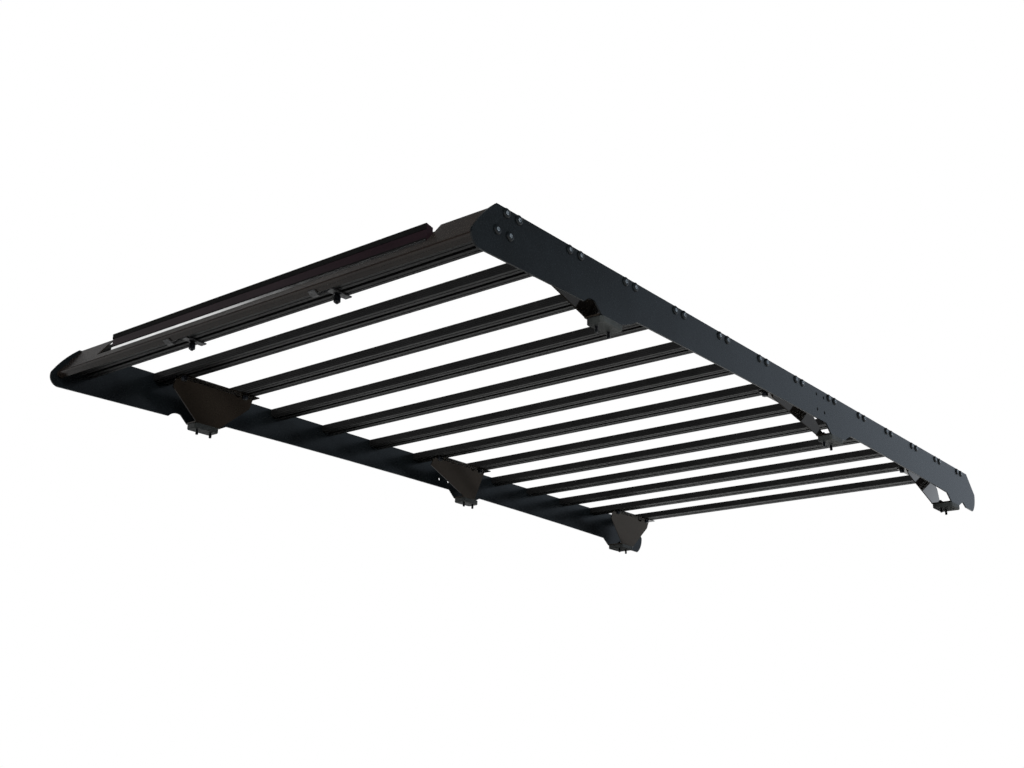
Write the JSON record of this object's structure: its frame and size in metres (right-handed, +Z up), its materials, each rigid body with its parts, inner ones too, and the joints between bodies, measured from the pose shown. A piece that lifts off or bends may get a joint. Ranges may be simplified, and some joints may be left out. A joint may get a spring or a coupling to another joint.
{
  "type": "platform roof rack",
  "caption": "Low open platform roof rack with arched side panels, slotted cross slats, stud feet on braces and a wind deflector across the front.",
  "frame": {"origin": "centre of the bounding box, on the plane of the lowest stud tips", "axes": "+Z up, +Y towards the rear of the vehicle, +X towards its left side"},
  "size_m": [1.356, 2.6548, 0.157],
  "materials": {
    "panel_coat": "satin black powder coat",
    "slat_coat": "fine matte black powder coat on an extrusion",
    "brace_coat": "smooth dark coat on folded sheet",
    "pad_finish": "dark grey coat on a cast pad",
    "stud_finish": "black zinc plate",
    "deflector_finish": "satin black-brown coat on folded sheet",
    "blade_finish": "glossy dark moulding",
    "bracket_coat": "satin black powder coat",
    "clamp_finish": "grey zinc plate"
  },
  "bodies": {
    "root": {"deflector_blade": "blade_finish", "front_lower_slat": "slat_coat", "left_deflector_bracket": "bracket_coat", "left_deflector_clamp": "clamp_finish", "left_front_foot_brace": "brace_coat", "left_front_foot_pad": "pad_finish", "left_front_foot_studs": "stud_finish", "left_middle_foot_brace": "brace_coat", "left_middle_foot_pad": "pad_finish", "left_middle_foot_studs": "stud_finish", "left_rear_foot_brace": "brace_coat", "left_rear_foot_pad": "pad_finish", "left_rear_foot_studs": "stud_finish", "left_side_panel": "panel_coat", "left_slat_bolts": "stud_finish", "right_deflector_bracket": "bracket_coat", "right_deflector_clamp": "clamp_finish", "right_front_foot_brace": "brace_coat", "right_front_foot_pad": "pad_finish", "right_front_foot_studs": "stud_finish", "right_middle_foot_brace": "brace_coat", "right_middle_foot_pad": "pad_finish", "right_middle_foot_studs": "stud_finish", "right_rear_foot_brace": "brace_coat", "right_rear_foot_pad": "pad_finish", "right_rear_foot_studs": "stud_finish", "right_side_panel": "panel_coat", "right_slat_bolts": "stud_finish", "slat_01": "slat_coat", "slat_02": "slat_coat", "slat_03": "slat_coat", "slat_04": "slat_coat", "slat_05": "slat_coat", "slat_06": "slat_coat", "slat_07": "slat_coat", "slat_08": "slat_coat", "slat_09": "slat_coat", "slat_10": "slat_coat", "slat_11": "slat_coat", "slat_12": "slat_coat", "slat_13": "slat_coat", "wind_deflector": "deflector_finish"}
  },
  "joints": []
}
